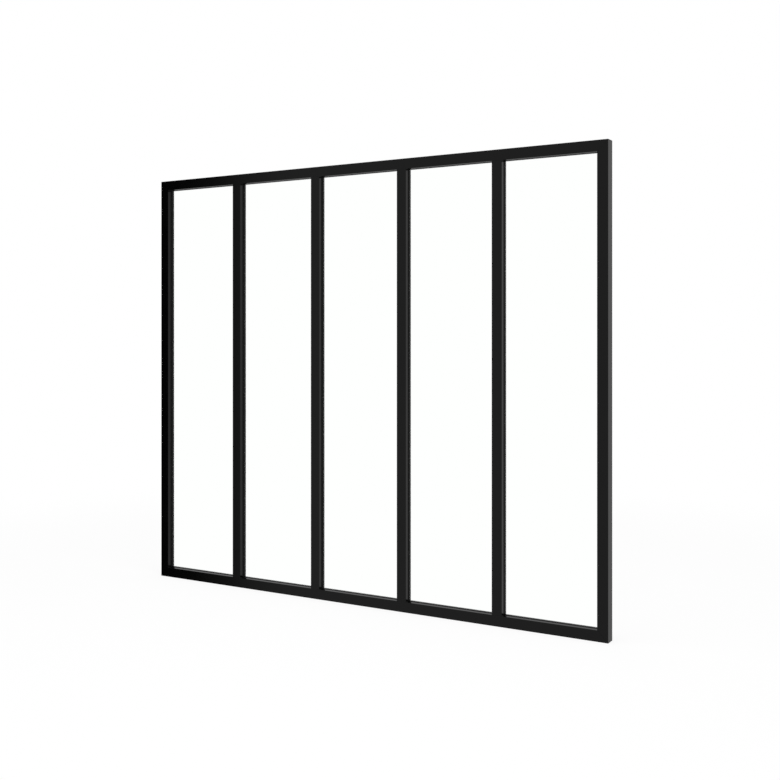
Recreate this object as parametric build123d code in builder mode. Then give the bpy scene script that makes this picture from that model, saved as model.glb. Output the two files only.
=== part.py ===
"""Interior glass partition: a mitred metal frame with mullions, beads and five tall fixed panes.

Millimetres. The origin is the middle of the bottom rail's underside, +X runs along the partition to the
right as seen from the front, +Y from the front to the rear and +Z up.
"""

import os

from build123d import *

# Overall size and division
overall_width = 1530.0
overall_height = 1300.0
pane_count = 5

# Bar sections across their faces
frame_face = 30.0  # jamb and rail, from outer face to sight line
web_thickness = 6.0  # mullion web between two panes
bead_width = 12.0  # from sight line to rebate floor
edge_radius = 0.4  # rounding of the extruded edges

# Bar sections from front to rear
front_leg_depth = 12.0
front_gasket_thickness = 1.0
glass_thickness = 6.0
rear_gasket_thickness = 5.0
bead_depth = 8.0

# Clearances
mitre_gap = 0.2  # hairline between two mitred ends
bead_clearance = 0.2  # bead to rebate floor, and bead end to what it meets
glass_edge_clearance = 3.0  # glass edge to rebate floor
gasket_setback = 1.0  # gasket edge behind the sight line
block_clearance = 0.3  # setting block to front leg and to bead

# Setting blocks under each pane
block_length = 60.0
block_inset = 45.0  # from the glass edge to the block's near end

# Screw heads, in degrees across the cone
countersink_angle = 90.0

# Wall screws, sunk in the rebate floor of the rails
fixing_hole_radius = 2.75
fixing_head_radius = 5.25

# Assembly screws, through the rails into the ends of the mullion webs
assembly_hole_radius = 2.2
assembly_head_radius = 4.4
assembly_pilot_radius = 1.7
assembly_pilot_depth = 25.0

# Sizes that follow
mullion_face = web_thickness + 2 * bead_width
glazing_depth = front_gasket_thickness + glass_thickness + rear_gasket_thickness
frame_depth = front_leg_depth + glazing_depth + bead_depth
frame_back = frame_face - bead_width
clear_height = overall_height - 2 * frame_face
clear_width = (overall_width - 2 * frame_face - (pane_count - 1) * mullion_face) / pane_count
pane_pitch = clear_width + mullion_face
glass_cover = bead_width - glass_edge_clearance
glass_width = clear_width + 2 * glass_cover
glass_height = clear_height + 2 * glass_cover

# Places that follow
left_side = -overall_width / 2
right_side = overall_width / 2
middle_height = overall_height / 2
front = -frame_depth / 2
rear = frame_depth / 2
rebate_front = front + front_leg_depth
glass_front = rebate_front + front_gasket_thickness
glass_rear = glass_front + glass_thickness
bead_front = rear - bead_depth
bead_middle = (bead_front + rear) / 2
rebate_middle = (rebate_front + rear) / 2
first_pane = left_side + frame_face + clear_width / 2
pane_centres = [first_pane + i * pane_pitch for i in range(pane_count)]
mullion_centres = [x + pane_pitch / 2 for x in pane_centres[:-1]]

os.makedirs("parts", exist_ok=True)


# Outer frame: an L section with the glazing rebate towards the pane, both ends cut at 45 degrees
frame_outline = [
    (0, front),
    (frame_face, front),
    (frame_face, rebate_front),
    (frame_back, rebate_front),
    (frame_back, rear),
    (0, rear),
]
right_way, up_way = Vector(1, 0, 0), Vector(0, 0, 1)
outer_bars = {
    "left_jamb": (Vector(left_side, 0, 0), right_way, up_way, overall_height),
    "right_jamb": (Vector(right_side, 0, overall_height), -right_way, -up_way, overall_height),
    "bottom_rail": (Vector(right_side, 0, 0), up_way, -right_way, overall_width),
    "top_rail": (Vector(left_side, 0, overall_height), -up_way, right_way, overall_width),
}

for name, (corner, inward, along, length) in outer_bars.items():
    start_normal = (along - inward).normalized()
    end_normal = (-along - inward).normalized()
    with BuildPart() as bar:
        with BuildSketch(Plane(origin=corner, x_dir=inward, z_dir=along)) as section:
            with BuildLine():
                Polyline(*frame_outline, close=True)
            make_face()
            rebate_corner = section.vertices().sort_by_distance((frame_back, rebate_front, 0))[:1]
            fillet(section.vertices() - rebate_corner, edge_radius)
        extrude(amount=length)
        split(bisect_by=Plane(corner + start_normal * mitre_gap / 2, z_dir=start_normal))
        split(bisect_by=Plane(corner + along * length + end_normal * mitre_gap / 2, z_dir=end_normal))
        if name.endswith("rail"):
            outer_face = Vector(0, rebate_middle, corner.Z)
            rebate_floor = outer_face + inward * frame_back
            with Locations(*[Plane(rebate_floor + right_way * x, z_dir=inward) for x in pane_centres]):
                CounterSinkHole(
                    fixing_hole_radius, fixing_head_radius, counter_sink_angle=countersink_angle
                )
            with Locations(*[Plane(outer_face + right_way * x, z_dir=-inward) for x in mullion_centres]):
                CounterSinkHole(
                    assembly_hole_radius, assembly_head_radius, counter_sink_angle=countersink_angle
                )
    bar.part.label = name
    export_step(bar.part, f"parts/{name}.step")


# Mullions: a T section whose front leg butts between the rails and whose web runs on into their rebates
for number, centre in enumerate(mullion_centres, start=1):
    with BuildPart() as mullion:
        with BuildSketch(Plane.XY.offset(frame_face)) as leg_section:
            with Locations((centre, (front + rebate_front) / 2)):
                Rectangle(mullion_face, front_leg_depth)
            fillet(leg_section.vertices(), edge_radius)
        extrude(amount=clear_height)
        with BuildSketch(Plane.XY.offset(frame_back)) as web_section:
            with Locations((centre, rebate_middle)):
                Rectangle(web_thickness, rear - rebate_front)
            fillet(web_section.vertices().group_by(Axis.Y)[-1], edge_radius)
        extrude(amount=overall_height - 2 * frame_back)
        web_ends = [
            Plane((centre, rebate_middle, frame_back), z_dir=-up_way),
            Plane((centre, rebate_middle, overall_height - frame_back), z_dir=up_way),
        ]
        with Locations(*web_ends):
            Hole(assembly_pilot_radius, depth=assembly_pilot_depth)
    mullion.part.label = f"mullion_{number}"
    export_step(mullion.part, f"parts/mullion_{number}.step")


# Panes: glass between two gaskets, held by four beads behind it
front_to_rear = Vector(0, 1, 0)
for number, centre in enumerate(pane_centres, start=1):
    with BuildPart() as glass:
        with BuildSketch(Plane((centre, glass_front, middle_height), right_way, front_to_rear)):
            Rectangle(glass_width, glass_height)
        extrude(amount=glass_thickness)
    glass.part.label = f"glass_pane_{number}"
    export_step(glass.part, f"parts/glass_pane_{number}.step")

    gaskets = {
        "front": (rebate_front, front_gasket_thickness),
        "rear": (glass_rear, rear_gasket_thickness),
    }
    for side, (face, thickness) in gaskets.items():
        with BuildPart() as gasket:
            with BuildSketch(Plane((centre, face, middle_height), right_way, front_to_rear)):
                Rectangle(glass_width, glass_height)
                Rectangle(
                    clear_width + 2 * gasket_setback,
                    clear_height + 2 * gasket_setback,
                    mode=Mode.SUBTRACT,
                )
            extrude(amount=thickness)
        gasket.part.label = f"{side}_gasket_{number}"
        export_step(gasket.part, f"parts/{side}_gasket_{number}.step")

    # Top and bottom beads run the width of the rebate, side beads stand between them
    bead_height = bead_width - bead_clearance
    across_length = clear_width + 2 * bead_height
    upright_length = clear_height - 2 * bead_clearance
    bead_heights = {
        "bottom": frame_face - bead_height / 2,
        "top": overall_height - frame_face + bead_height / 2,
    }
    for side, height in bead_heights.items():
        with BuildPart() as bead:
            with BuildSketch(Plane.YZ.offset(centre - across_length / 2)) as bead_section:
                with Locations((bead_middle, height)):
                    Rectangle(bead_depth, bead_height)
                fillet(bead_section.vertices(), edge_radius)
            extrude(amount=across_length)
        bead.part.label = f"{side}_bead_{number}"
        export_step(bead.part, f"parts/{side}_bead_{number}.step")

    bead_places = {
        "left": centre - clear_width / 2 - bead_height / 2,
        "right": centre + clear_width / 2 + bead_height / 2,
    }
    for side, place in bead_places.items():
        with BuildPart() as bead:
            with BuildSketch(Plane.XY.offset(frame_face + bead_clearance)) as bead_section:
                with Locations((place, bead_middle)):
                    Rectangle(bead_height, bead_depth)
                fillet(bead_section.vertices(), edge_radius)
            extrude(amount=upright_length)
        bead.part.label = f"{side}_bead_{number}"
        export_step(bead.part, f"parts/{side}_bead_{number}.step")


# Setting blocks: two under each pane, between the glass and the bottom rail's rebate floor
block_reach = glass_width / 2 - block_inset - block_length / 2
block_middle = (rebate_front + bead_front) / 2
block_places = [(x + way * block_reach, block_middle) for x in pane_centres for way in (-1, 1)]
with BuildPart() as setting_blocks:
    with BuildSketch(Plane.XY.offset(frame_back)):
        with Locations(*block_places):
            Rectangle(block_length, glazing_depth - 2 * block_clearance)
    extrude(amount=glass_edge_clearance)
setting_blocks.part.label = "setting_blocks"
export_step(setting_blocks.part, "parts/setting_blocks.step")
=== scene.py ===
"""Looks of the interior glass partition: finishes, swept gaskets, screws, studio and camera.

Metres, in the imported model's frame: +X runs to the right along the partition, +Y from its front to its rear
and +Z up, with the origin under the middle of the bottom rail.
"""

import logging
import math
from collections.abc import Mapping
from dataclasses import dataclass
from enum import Enum
from typing import Any

import bmesh
import bpy
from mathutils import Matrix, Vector

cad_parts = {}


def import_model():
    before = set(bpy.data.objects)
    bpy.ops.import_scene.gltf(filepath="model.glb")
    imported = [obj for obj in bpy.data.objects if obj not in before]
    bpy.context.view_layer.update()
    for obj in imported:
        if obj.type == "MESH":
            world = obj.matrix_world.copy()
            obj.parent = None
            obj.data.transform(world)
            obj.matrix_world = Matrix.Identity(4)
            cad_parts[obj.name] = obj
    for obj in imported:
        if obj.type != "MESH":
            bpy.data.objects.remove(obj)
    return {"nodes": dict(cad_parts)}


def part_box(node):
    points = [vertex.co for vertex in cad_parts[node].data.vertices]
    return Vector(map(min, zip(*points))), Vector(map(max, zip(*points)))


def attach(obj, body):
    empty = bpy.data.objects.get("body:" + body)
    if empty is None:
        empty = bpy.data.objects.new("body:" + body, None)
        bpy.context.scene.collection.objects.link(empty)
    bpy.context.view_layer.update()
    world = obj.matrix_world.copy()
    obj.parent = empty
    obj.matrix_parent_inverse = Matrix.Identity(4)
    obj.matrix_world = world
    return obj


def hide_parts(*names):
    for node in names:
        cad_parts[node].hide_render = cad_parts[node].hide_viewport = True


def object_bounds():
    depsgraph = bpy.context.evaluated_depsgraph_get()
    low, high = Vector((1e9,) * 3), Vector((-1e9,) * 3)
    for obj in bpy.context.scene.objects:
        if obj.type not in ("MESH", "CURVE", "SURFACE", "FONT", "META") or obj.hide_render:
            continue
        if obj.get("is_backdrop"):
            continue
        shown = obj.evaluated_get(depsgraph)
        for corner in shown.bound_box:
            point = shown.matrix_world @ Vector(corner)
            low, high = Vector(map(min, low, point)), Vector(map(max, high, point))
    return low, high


log = logging.getLogger("partition")

MM = 0.001
BODY = "root"

Nodes = Mapping[str, bpy.types.Object]


class Slot(Enum):
    """The record's material slots for the rubber and the screws. Nothing in this script uses them."""

    RUBBER = "black_rubber"
    SCREW = "zinc_steel"


class Side(Enum):
    """The two sides of the glass that a gasket lies on."""

    FRONT = "front"
    REAR = "rear"


class Rail(Enum):
    """The two rails, valued by the way their outer faces look along Z."""

    TOP = 1
    BOTTOM = -1


def linear(hex_colour: str) -> tuple[float, float, float, float]:
    """Turns an sRGB hex colour into linear RGBA.

    Args:
        hex_colour: Six hex digits after a hash sign.

    Returns:
        Linear red, green and blue, and an alpha of 1.
    """
    channels = [int(hex_colour[i : i + 2], 16) / 255 for i in (1, 3, 5)]
    red, green, blue = (c / 12.92 if c <= 0.04045 else ((c + 0.055) / 1.055) ** 2.4 for c in channels)
    return (red, green, blue, 1.0)


def add_node(
    tree: bpy.types.NodeTree,
    kind: str,
    inputs: Mapping[str | int, Any] | None = None,
    **settings: Any,
) -> bpy.types.Node:
    """Adds one node to a tree, with its settings, socket values and links.

    Args:
        tree: Shader or geometry tree.
        kind: Node type, such as ShaderNodeTexNoise.
        inputs: Socket name or number to a plain value, or to the output socket that feeds it.
        **settings: Properties of the node itself.

    Returns:
        The new node.
    """
    node = tree.nodes.new(kind)
    for name, value in settings.items():
        setattr(node, name, value)
    for key, value in (inputs or {}).items():
        if isinstance(value, bpy.types.NodeSocket):
            tree.links.new(value, node.inputs[key])
        else:
            node.inputs[key].default_value = value
    return node


@dataclass(frozen=True)
class Finish:
    """A material, with the common name of what it stands for."""

    name: str

    def build(self) -> bpy.types.Material:
        """Makes the material from an empty tree.

        Returns:
            The material, ready to give to a piece.
        """
        material = bpy.data.materials.new(self.name)
        material.use_nodes = True
        tree = material.node_tree
        tree.nodes.clear()
        add_node(tree, "ShaderNodeOutputMaterial", {"Surface": self.surface(tree)})
        return material

    def surface(self, tree: bpy.types.NodeTree) -> bpy.types.NodeSocket:
        """Adds the nodes of the surface.

        Args:
            tree: The material's empty tree.

        Returns:
            The shader output that the surface shows.
        """
        raise NotImplementedError


@dataclass(frozen=True)
class CloudedFinish(Finish):
    """A finish whose colour and roughness drift together in soft clouds."""

    dark: str
    light: str
    smoothest: float
    roughest: float
    cloud: float

    def clouds(self, tree: bpy.types.NodeTree) -> dict[str, bpy.types.NodeSocket]:
        """Adds the clouds.

        Args:
            tree: The material's tree.

        Returns:
            What feeds the shader's colour and roughness, by socket name.
        """
        place = add_node(tree, "ShaderNodeTexCoord").outputs["Object"]
        cloud = add_node(tree, "ShaderNodeTexNoise", {"Vector": place, "Scale": 1 / self.cloud}).outputs[0]
        colour = add_node(
            tree,
            "ShaderNodeMix",
            {0: cloud, 6: linear(self.dark), 7: linear(self.light)},
            data_type="RGBA",
        )
        rough = add_node(
            tree,
            "ShaderNodeMapRange",
            {"Value": cloud, "To Min": self.smoothest, "To Max": self.roughest},
        )
        return {"Base Color": colour.outputs[2], "Roughness": rough.outputs[0]}

    def relief(
        self, tree: bpy.types.NodeTree, layers: Mapping[float, float]
    ) -> dict[str, bpy.types.NodeSocket]:
        """Adds layers of fine bumps, one on the other.

        Args:
            tree: The material's tree.
            layers: Distance from crest to crest of each layer, to its depth.

        Returns:
            What feeds the shader's normal, by socket name.
        """
        place = add_node(tree, "ShaderNodeTexCoord").outputs["Object"]
        fed: dict[str, bpy.types.NodeSocket] = {}
        for size, depth in layers.items():
            noise = add_node(tree, "ShaderNodeTexNoise", {"Vector": place, "Scale": 1 / size})
            bump = add_node(
                tree, "ShaderNodeBump", {"Height": noise.outputs[0], "Distance": depth} | fed
            )
            fed = {"Normal": bump.outputs[0]}
        return fed


@dataclass(frozen=True)
class PowderCoat(CloudedFinish):
    """Satin polyester powder coat, baked on to extruded aluminium.

    The eye sees a deep neutral black with a soft sheen that comes up towards grazing angles. Orange peel, a
    few millimetres from crest to crest, ripples the sheen a little, and a finer grit softens its edge. The
    real grit is about a tenth of a millimetre, too fine to show, so it is drawn coarser.
    """

    name: str = "black satin powder coat"
    dark: str = "#010101"
    light: str = "#030303"
    smoothest: float = 0.10
    roughest: float = 0.14
    cloud: float = 60 * MM
    specular: float = 0.16
    peel_size: float = 4.0 * MM
    peel_depth: float = 0.030 * MM
    grit_size: float = 0.6 * MM
    grit_depth: float = 0.005 * MM

    def surface(self, tree: bpy.types.NodeTree) -> bpy.types.NodeSocket:
        """Builds the coat with its clouding, orange peel and grit.

        Args:
            tree: The material's empty tree.

        Returns:
            The shader output that the surface shows.
        """
        relief = self.relief(tree, {self.peel_size: self.peel_depth, self.grit_size: self.grit_depth})
        coat = add_node(
            tree,
            "ShaderNodeBsdfPrincipled",
            self.clouds(tree) | relief | {"Specular IOR Level": self.specular},
        )
        return coat.outputs[0]


@dataclass(frozen=True)
class FloatGlass(Finish):
    """Toughened clear float glass.

    The eye sees almost nothing but a faint mirror of the room, the least trace of green, and a slow ripple
    in the mirrored lines that the furnace's rollers leave.
    """

    name: str = "clear float glass"
    colour: str = "#FEFFFE"
    ior: float = 1.52
    ripple_pitch: float = 300 * MM
    ripple_depth: float = 0.05 * MM

    def surface(self, tree: bpy.types.NodeTree) -> bpy.types.NodeSocket:
        """Builds the clear glass with its roller ripple.

        Args:
            tree: The material's empty tree.

        Returns:
            The shader output that the surface shows.
        """
        place = add_node(tree, "ShaderNodeTexCoord").outputs["Object"]
        # A wave texture of scale 1 has a crest every tenth of pi
        waves = add_node(
            tree,
            "ShaderNodeTexWave",
            {"Vector": place, "Scale": math.pi / 10 / self.ripple_pitch},
            bands_direction="Z",
        )
        bump = add_node(
            tree, "ShaderNodeBump", {"Height": waves.outputs["Fac"], "Distance": self.ripple_depth}
        )
        glass = add_node(
            tree,
            "ShaderNodeBsdfPrincipled",
            {
                "Base Color": linear(self.colour),
                "Roughness": 0.0,
                "IOR": self.ior,
                "Transmission Weight": 1.0,
                "Normal": bump.outputs[0],
            },
        )
        return glass.outputs[0]


@dataclass(frozen=True)
class GasketRubber(CloudedFinish):
    """Extruded EPDM rubber: dead black and matt, with a faint grey bloom in patches."""

    name: str = "black EPDM rubber"
    dark: str = "#070707"
    light: str = "#0E0E0E"
    smoothest: float = 0.6
    roughest: float = 0.8
    cloud: float = 12 * MM
    specular: float = 0.15
    skin_size: float = 0.8 * MM
    skin_depth: float = 0.01 * MM

    def surface(self, tree: bpy.types.NodeTree) -> bpy.types.NodeSocket:
        """Builds the rubber with its bloom and the fine skin of an extrusion.

        Args:
            tree: The material's empty tree.

        Returns:
            The shader output that the surface shows.
        """
        rubber = add_node(
            tree,
            "ShaderNodeBsdfPrincipled",
            self.clouds(tree)
            | self.relief(tree, {self.skin_size: self.skin_depth})
            | {"Specular IOR Level": self.specular},
        )
        return rubber.outputs[0]


@dataclass(frozen=True)
class BlockNylon(CloudedFinish):
    """Moulded nylon of the setting blocks: dark grey, slightly waxy."""

    name: str = "dark moulded nylon"
    dark: str = "#343536"
    light: str = "#3F4041"
    smoothest: float = 0.45
    roughest: float = 0.6
    cloud: float = 8 * MM

    def surface(self, tree: bpy.types.NodeTree) -> bpy.types.NodeSocket:
        """Builds the moulded nylon."""
        return add_node(tree, "ShaderNodeBsdfPrincipled", self.clouds(tree)).outputs[0]


@dataclass(frozen=True)
class ZincSteel(CloudedFinish):
    """Bright zinc plate on turned steel: a cool grey metal, cloudy where the plating pooled."""

    name: str = "zinc plated steel"
    dark: str = "#8C8F93"
    light: str = "#B4B6B8"
    smoothest: float = 0.25
    roughest: float = 0.45
    cloud: float = 1.5 * MM

    def surface(self, tree: bpy.types.NodeTree) -> bpy.types.NodeSocket:
        """Builds the plated steel."""
        steel = add_node(tree, "ShaderNodeBsdfPrincipled", self.clouds(tree) | {"Metallic": 1.0})
        return steel.outputs[0]


@dataclass(frozen=True)
class StudioPaper(Finish):
    """White background paper under the partition: it shows as plain white and keeps a faint shadow."""

    name: str = "white studio paper"
    colour: str = "#F4F4F4"
    glow: float = 0.85
    shadow_reach: float = 1.2
    fade: float = 1.5

    def surface(self, tree: bpy.types.NodeTree) -> bpy.types.NodeSocket:
        """Builds the paper, which turns pure white away from the partition.

        Args:
            tree: The material's empty tree.

        Returns:
            The shader output that the surface shows.
        """
        place = add_node(tree, "ShaderNodeTexCoord").outputs["Object"]
        distance = add_node(tree, "ShaderNodeVectorMath", {0: place}, operation="LENGTH").outputs["Value"]
        glow = add_node(
            tree,
            "ShaderNodeMapRange",
            {
                "Value": distance,
                "From Min": self.shadow_reach,
                "From Max": self.shadow_reach + self.fade,
                "To Min": self.glow,
            },
            interpolation_type="SMOOTHSTEP",
        ).outputs[0]
        seen = add_node(tree, "ShaderNodeLightPath").outputs["Is Camera Ray"]
        share = add_node(tree, "ShaderNodeMath", {0: seen, 1: glow}, operation="MULTIPLY").outputs[0]
        matt = add_node(tree, "ShaderNodeBsdfDiffuse", {"Color": linear(self.colour)}).outputs[0]
        white = add_node(tree, "ShaderNodeEmission", {"Color": linear("#FFFFFF")}).outputs[0]
        return add_node(tree, "ShaderNodeMixShader", {0: share, 1: matt, 2: white}).outputs[0]


class ShapeTree:
    """A geometry tree with named inputs, which is baked to plain meshes."""

    def __init__(self, name: str, inputs: Mapping[str, str]) -> None:
        """Starts the tree.

        Args:
            name: Name of the tree.
            inputs: Name of each input, to its socket type.
        """
        self.tree = bpy.data.node_groups.new(name, "GeometryNodeTree")
        for label, kind in inputs.items():
            self.tree.interface.new_socket(label, in_out="INPUT", socket_type=kind)
        self.tree.interface.new_socket("Geometry", in_out="OUTPUT", socket_type="NodeSocketGeometry")
        self.given = add_node(self.tree, "NodeGroupInput").outputs

    def node(
        self, kind: str, inputs: Mapping[str | int, Any] | None = None, **settings: Any
    ) -> bpy.types.Node:
        """Adds one node to this tree."""
        return add_node(self.tree, kind, inputs, **settings)

    def close(self, geometry: bpy.types.NodeSocket) -> None:
        """Ends the tree in realized instances and the finish that is given as Finish.

        Args:
            geometry: The shape to show.
        """
        real = self.node("GeometryNodeRealizeInstances", {"Geometry": geometry}).outputs[0]
        dressed = self.node(
            "GeometryNodeSetMaterial", {"Geometry": real, "Material": self.given["Finish"]}
        ).outputs[0]
        self.node("NodeGroupOutput", {"Geometry": dressed})

    def bake(self, name: str, values: Mapping[str, Any], smooth_below: float) -> bpy.types.Object:
        """Runs the tree and keeps its result as a plain mesh.

        Args:
            name: Name of the new piece.
            values: A value for each named input.
            smooth_below: Edges that turn by less than this angle are shaded smooth.

        Returns:
            The piece, at the origin, with its place in its mesh.
        """
        piece = bpy.data.objects.new(name, bpy.data.meshes.new(name))
        bpy.context.scene.collection.objects.link(piece)
        modifier = piece.modifiers.new("shape", "NODES")
        modifier.node_group = self.tree
        for socket in self.tree.interface.items_tree:
            if socket.in_out == "INPUT":
                modifier[socket.identifier] = values[socket.name]
        shown = bpy.context.evaluated_depsgraph_get()
        mesh = bpy.data.meshes.new_from_object(piece.evaluated_get(shown), depsgraph=shown)
        piece.modifiers.remove(modifier)
        piece.data = mesh
        mesh.name = name
        form = bmesh.new()
        form.from_mesh(mesh)
        bmesh.ops.recalc_face_normals(form, faces=form.faces)
        form.to_mesh(mesh)
        form.free()
        mesh.shade_smooth()
        mesh.set_sharp_from_angle(angle=smooth_below)
        log.info("made %s with %d faces", name, len(mesh.polygons))
        return piece


def dress(nodes: Nodes, names: list[str], material: bpy.types.Material) -> None:
    """Gives CAD nodes one material all over.

    Args:
        nodes: The frame's nodes.
        names: The nodes to dress.
        material: The finish that they show.
    """
    for name in names:
        for slot in nodes[name].material_slots:
            slot.material = material
        log.info("dressed %s in %s", name, material.name)


@dataclass
class FrameBars:
    """The coated metal: jambs, rails, mullions and the glazing beads behind the glass."""

    nodes: Nodes
    coat: Finish = PowderCoat()

    def build(self) -> None:
        """Dresses every bar and bead."""
        kinds = ("jamb", "rail", "mullion", "bead")
        bars = [name for name in self.nodes if any(kind in name for kind in kinds)]
        dress(self.nodes, bars, self.coat.build())


@dataclass
class Glazing:
    """The panes and the blocks that they stand on."""

    nodes: Nodes
    glass: Finish = FloatGlass()
    nylon: Finish = BlockNylon()

    def build(self) -> None:
        """Dresses the panes and the setting blocks."""
        panes = [name for name in self.nodes if name.startswith("glass_pane")]
        dress(self.nodes, panes, self.glass.build())
        dress(self.nodes, ["setting_blocks"], self.nylon.build())
        for name in panes:
            # Light falls through the clear panes, so they throw no shadow, and the coat mirrors past them
            self.nodes[name].visible_shadow = False
            self.nodes[name].visible_diffuse = False
            self.nodes[name].visible_glossy = False


@dataclass
class GasketRuns:
    """The rubber strips on both sides of every pane, mitred at its corners, with rounded lips."""

    nodes: Nodes
    rubber: Finish = GasketRubber()
    setback: float = 1.0 * MM
    lip_share: float = 0.4  # lip radius to strip thickness
    lip_steps: int = 5
    smooth_below: float = math.radians(40)

    def tree(self) -> ShapeTree:
        """Builds the tree that sweeps the strip round a pane.

        Returns:
            The tree, ready to bake.
        """
        shape = ShapeTree(
            "gasket run",
            {
                "Width": "NodeSocketFloat",
                "Height": "NodeSocketFloat",
                "Strip": "NodeSocketFloat",
                "Thickness": "NodeSocketFloat",
                "Lip Radius": "NodeSocketFloat",
                "Lip Steps": "NodeSocketInt",
                "Centre": "NodeSocketVector",
                "Finish": "NodeSocketMaterial",
            },
        )
        given = shape.given
        middle = {
            side: shape.node(
                "ShaderNodeMath", {0: given[side], 1: given["Strip"]}, operation="SUBTRACT"
            ).outputs[0]
            for side in ("Width", "Height")
        }
        path = shape.node("GeometryNodeCurvePrimitiveQuadrilateral", middle).outputs[0]
        level = shape.node("GeometryNodeSetCurveNormal", {"Curve": path}, mode="Z_UP").outputs[0]
        strip = shape.node(
            "GeometryNodeCurvePrimitiveQuadrilateral",
            {"Width": given["Strip"], "Height": given["Thickness"]},
        ).outputs[0]
        rounded = shape.node(
            "GeometryNodeFilletCurve",
            {"Curve": strip, "Count": given["Lip Steps"], "Radius": given["Lip Radius"]},
            mode="POLY",
        ).outputs[0]
        # The only sections stand across the mitres, where the strip measures root 2 of its width
        mitred = shape.node(
            "GeometryNodeTransform", {"Geometry": rounded, "Scale": (math.sqrt(2), 1, 1)}
        ).outputs[0]
        swept = shape.node("GeometryNodeCurveToMesh", {"Curve": level, "Profile Curve": mitred}).outputs[0]
        upright = shape.node(
            "GeometryNodeTransform",
            {"Geometry": swept, "Rotation": (math.radians(90), 0, 0), "Translation": given["Centre"]},
        ).outputs[0]
        shape.close(upright)
        return shape

    def build(self) -> None:
        """Makes every strip in place of its plain CAD solid."""
        shape = self.tree()
        material = self.rubber.build()
        panes = [name.removeprefix("glass_pane_") for name in self.nodes if name.startswith("glass_pane")]
        for pane in panes:
            sight_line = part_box(f"left_bead_{pane}")[1].x
            for side in Side:
                node = f"{side.value}_gasket_{pane}"
                low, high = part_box(node)
                piece = shape.bake(
                    f"{side.value}_gasket_run_{pane}",
                    {
                        "Width": high.x - low.x,
                        "Height": high.z - low.z,
                        "Strip": sight_line - self.setback - low.x,
                        "Thickness": high.y - low.y,
                        "Lip Radius": self.lip_share * (high.y - low.y),
                        "Lip Steps": self.lip_steps,
                        "Centre": (low + high) / 2,
                        "Finish": material,
                    },
                    self.smooth_below,
                )
                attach(piece, BODY)
                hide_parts(node)


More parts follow.
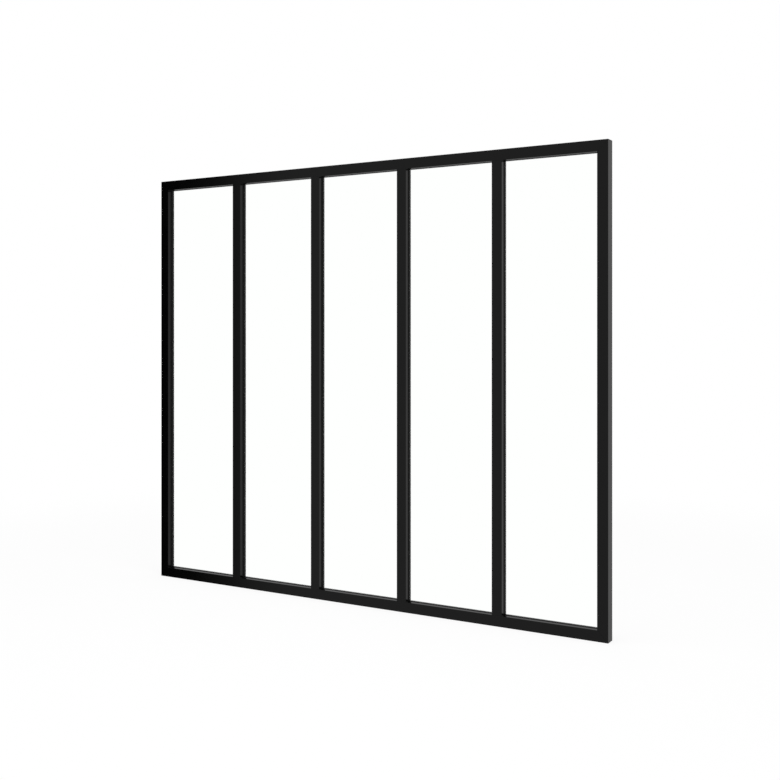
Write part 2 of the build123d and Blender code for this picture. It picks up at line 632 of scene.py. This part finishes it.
@dataclass
class AssemblyScrews:
    """Countersunk screws through the rails into the ends of the mullions, with six-lobed recesses."""

    nodes: Nodes
    steel: Finish = ZincSteel()
    head_radius: float = 4.2 * MM
    sunk: float = 0.15 * MM
    shank_radius: float = 1.65 * MM
    length: float = 38 * MM
    recess_radius: float = 1.7 * MM
    lobe_height: float = 0.3 * MM
    lobes: int = 6
    recess_depth: float = 1.8 * MM
    sides: int = 48
    smooth_below: float = math.radians(30)
    seed: int = 7

    def ring(self, radius: float, lobe: float, height: float) -> list[Vector]:
        """Gives one ring of the screw's outline.

        Args:
            radius: Mean radius.
            lobe: How far the lobes stand out from it.
            height: Height above the rail's face, which is negative below it.

        Returns:
            The points of the ring.
        """
        points = []
        for i in range(self.sides):
            angle = math.tau * i / self.sides
            reach = radius + lobe * math.cos(self.lobes * angle)
            points.append(Vector((reach * math.cos(angle), reach * math.sin(angle), height)))
        return points

    def screw(self) -> bpy.types.Object:
        """Makes one screw that stands upright in a rail's top face.

        Returns:
            The screw, with the rail's face at height 0. It isn't in the scene.
        """
        shoulder = -self.sunk - (self.head_radius - self.shank_radius)
        outline = [
            self.ring(self.recess_radius, self.lobe_height, -self.sunk - self.recess_depth),
            self.ring(self.recess_radius, self.lobe_height, -self.sunk),
            self.ring(self.head_radius, 0, -self.sunk),
            self.ring(self.shank_radius, 0, shoulder),
            self.ring(self.shank_radius, 0, -self.length),
        ]
        form = bmesh.new()
        rings = [[form.verts.new(point) for point in ring] for ring in outline]
        for lower, upper in zip(rings, rings[1:]):
            for i in range(self.sides):
                j = (i + 1) % self.sides
                form.faces.new((lower[i], lower[j], upper[j], upper[i]))
        form.faces.new(rings[0])
        form.faces.new(rings[-1])
        mesh = bpy.data.meshes.new("assembly_screw")
        form.to_mesh(mesh)
        form.free()
        return bpy.data.objects.new("assembly_screw", mesh)

    def tree(self) -> ShapeTree:
        """Builds the tree that sets a row of screws in a rail.

        Returns:
            The tree, ready to bake.
        """
        shape = ShapeTree(
            "screw row",
            {
                "Screw": "NodeSocketObject",
                "Count": "NodeSocketInt",
                "First": "NodeSocketVector",
                "Step": "NodeSocketVector",
                "Flip": "NodeSocketFloat",
                "Finish": "NodeSocketMaterial",
            },
        )
        given = shape.given
        row = shape.node(
            "GeometryNodeMeshLine",
            {"Count": given["Count"], "Start Location": given["First"], "Offset": given["Step"]},
        ).outputs[0]
        screw = shape.node("GeometryNodeObjectInfo", {"Object": given["Screw"]}).outputs["Geometry"]
        # Each screw stopped at its own angle when it was driven home
        spin = shape.node(
            "FunctionNodeRandomValue", {3: math.tau / self.lobes, "Seed": self.seed}, data_type="FLOAT"
        ).outputs[1]
        angles = shape.node("ShaderNodeCombineXYZ", {"X": given["Flip"], "Z": spin}).outputs[0]
        turn = shape.node("FunctionNodeEulerToRotation", {"Euler": angles}).outputs[0]
        driven = shape.node(
            "GeometryNodeInstanceOnPoints", {"Points": row, "Instance": screw, "Rotation": turn}
        ).outputs[0]
        shape.close(driven)
        return shape

    def build(self) -> None:
        """Sets a row of screws in each rail."""
        shape = self.tree()
        screw = self.screw()
        material = self.steel.build()
        mullions = [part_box(name) for name in sorted(self.nodes) if name.startswith("mullion")]
        centres = [(low.x + high.x) / 2 for low, high in mullions]
        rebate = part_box("front_gasket_1")[0].y
        middle = (rebate + mullions[0][1].y) / 2
        for rail in Rail:
            low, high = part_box(f"{rail.name.lower()}_rail")
            face = high.z if rail is Rail.TOP else low.z
            piece = shape.bake(
                f"{rail.name.lower()}_rail_screws",
                {
                    "Screw": screw,
                    "Count": len(centres),
                    "First": (centres[0], middle, face),
                    "Step": (centres[1] - centres[0], 0, 0),
                    "Flip": 0.0 if rail is Rail.TOP else math.pi,
                    "Finish": material,
                },
                self.smooth_below,
            )
            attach(piece, BODY)
        bpy.data.objects.remove(screw)


@dataclass
class Studio:
    """White studio: paper floor, surround, one soft lamp and the camera at the photograph's angle."""

    low: Vector
    high: Vector
    paper: Finish = StudioPaper()
    floor_size: float = 60.0
    floor_drop: float = 0.2 * MM
    fill: float = 0.75  # level that lights the partition
    # What the coat mirrors: bearing in degrees from the rear, turning by the right, with the level below
    # and above the horizon
    mirrored: tuple[tuple[float, float, float], ...] = (
        (-142.7, 1.0, 1.0),
        (-140.2, 0.0, 0.0),
        (-120.0, 0.0, 0.0),
        (-60.0, 0.35, 0.58),
        (0.0, 0.3, 0.52),
        (35.0, 1.0, 1.0),
    )
    # Rise of a ray, from 0 level to 1 upright: where below turns to above, and where all bearings turn even
    horizon: tuple[float, float] = (-0.1, 0.15)
    even: tuple[float, float] = (0.45, 0.7)
    lamp_size: float = 2.5
    lamp_power: float = 60.0
    lamp_place: tuple[float, float, float] = (0.6, -1.2, 3.6)
    # The photograph's frame, in pixels
    image_size: float = 780.0
    horizon_row: float = 334.709
    focal_length: float = 1069.46
    sensor_width: float = 36.0  # Blender's own, in millimetres
    yaw: float = math.radians(30.591)
    camera_right: float = 917.54 * MM
    camera_ahead: float = 2655.83 * MM
    camera_height: float = 795.33 * MM

    def add(self, name: str, data: bpy.types.ID) -> bpy.types.Object:
        """Puts new data in the scene as an object.

        Args:
            name: Name of the object.
            data: Its mesh, lamp or camera.

        Returns:
            The object.
        """
        made = bpy.data.objects.new(name, data)
        bpy.context.scene.collection.objects.link(made)
        log.info("put up %s", name)
        return made

    def camera(self) -> None:
        """Puts up the level camera, shifted for the photograph's framing."""
        data = bpy.data.cameras.new("photo_camera")
        data.sensor_width = self.sensor_width
        data.lens = self.focal_length / self.image_size * self.sensor_width
        data.shift_y = (self.horizon_row - self.image_size / 2) / self.image_size
        camera = self.add("photo_camera", data)
        camera.location = (
            self.high.x + self.camera_right,
            self.low.y - self.camera_ahead,
            self.camera_height,
        )
        camera.rotation_euler = (math.radians(90), 0, self.yaw)
        bpy.context.scene.camera = camera

    def floor(self) -> None:
        """Lays the paper just under the partition."""
        mesh = bpy.data.meshes.new("floor")
        half = self.floor_size / 2
        corners = ((-half, -half), (half, -half), (half, half), (-half, half))
        mesh.from_pydata([(x, y, -self.floor_drop) for x, y in corners], [], [(0, 1, 2, 3)])
        mesh.materials.append(self.paper.build())
        floor = self.add("floor", mesh)
        # Rays that the coat or the glass turns pass the paper by and meet the surround below the horizon
        floor.visible_glossy = False
        floor.visible_transmission = False
        floor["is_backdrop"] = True

    def surround(self) -> None:
        """Builds the surround: white to the eye and through glass, uneven where the coat mirrors it."""
        world = bpy.data.worlds.new("studio_surround")
        world.use_nodes = True
        tree = world.node_tree
        tree.nodes.clear()
        toward = add_node(tree, "ShaderNodeTexCoord").outputs["Generated"]
        along = add_node(tree, "ShaderNodeSeparateXYZ", {"Vector": toward}).outputs
        # Bearing from the rear, turning by the right, as a share of a turn with the rear in the middle
        bearing = add_node(
            tree, "ShaderNodeMath", {0: along["X"], 1: along["Y"]}, operation="ARCTAN2"
        ).outputs[0]
        turn = add_node(
            tree, "ShaderNodeMath", {0: bearing, 1: 1 / math.tau, 2: 0.5}, operation="MULTIPLY_ADD"
        ).outputs[0]
        below, above = (add_node(tree, "ShaderNodeValToRGB", {"Fac": turn}) for _ in range(2))
        for ramp, column in ((below, 1), (above, 2)):
            stops = ramp.color_ramp.elements
            # A new ramp runs from black to white, and here both its ends look out at the front
            stops[0].color = linear("#FFFFFF")
            for stop in self.mirrored:
                stops.new(0.5 + stop[0] / 360).color = (*[stop[column]] * 3, 1.0)
        rise = add_node(
            tree,
            "ShaderNodeMapRange",
            {"Value": along["Z"], "From Min": self.horizon[0], "From Max": self.horizon[1]},
        ).outputs[0]
        walls = add_node(
            tree,
            "ShaderNodeMix",
            {0: rise, 6: below.outputs[0], 7: above.outputs[0]},
            data_type="RGBA",
        ).outputs[2]
        # Steep rays, up or down, meet a ceiling or a floor that is white all round
        steepness = add_node(tree, "ShaderNodeMath", {0: along["Z"]}, operation="ABSOLUTE").outputs[0]
        even = add_node(
            tree,
            "ShaderNodeMapRange",
            {"Value": steepness, "From Min": self.even[0], "From Max": self.even[1]},
        ).outputs[0]
        mirrored = add_node(tree, "ShaderNodeMix", {0: even, 2: walls, 3: 1.0}).outputs[0]
        path = add_node(tree, "ShaderNodeLightPath").outputs
        # Rays off the coat are glossy and spread a little. Rays off or through the glass are sharp
        on_coat = add_node(
            tree,
            "ShaderNodeMath",
            {0: path["Is Glossy Ray"], 1: path["Is Singular Ray"]},
            operation="GREATER_THAN",
        ).outputs[0]
        seen = add_node(
            tree,
            "ShaderNodeMath",
            {0: path["Is Camera Ray"], 1: path["Is Singular Ray"]},
            operation="MAXIMUM",
        ).outputs[0]
        plain = add_node(tree, "ShaderNodeMix", {0: seen, 2: self.fill, 3: 1.0}).outputs[0]
        strength = add_node(tree, "ShaderNodeMix", {0: on_coat, 2: plain, 3: mirrored}).outputs[0]
        light = add_node(
            tree, "ShaderNodeBackground", {"Color": linear("#FFFFFF"), "Strength": strength}
        ).outputs[0]
        add_node(tree, "ShaderNodeOutputWorld", {"Surface": light})
        bpy.context.scene.world = world

    def lamp(self) -> None:
        """Hangs the soft lamp and turns it to the middle of the partition."""
        data = bpy.data.lights.new("soft_lamp", "AREA")
        data.size = self.lamp_size
        data.energy = self.lamp_power
        lamp = self.add("soft_lamp", data)
        lamp.location = self.lamp_place
        aim = (self.low + self.high) / 2 - lamp.location
        lamp.rotation_euler = aim.to_track_quat("-Z", "Y").to_euler()

    def build(self) -> None:
        """Puts up the whole studio."""
        bpy.context.scene.view_settings.view_transform = "Standard"
        self.floor()
        self.surround()
        self.lamp()
        self.camera()


def main() -> None:
    """Dresses the partition, adds its small pieces and puts up the studio."""
    logging.basicConfig(level=logging.INFO, format="%(name)s: %(message)s")
    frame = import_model()
    low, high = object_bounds()
    nodes = frame["nodes"]
    FrameBars(nodes).build()
    Glazing(nodes).build()
    GasketRuns(nodes).build()
    AssemblyScrews(nodes).build()
    Studio(low, high).build()


if __name__ == "__main__":
    main()
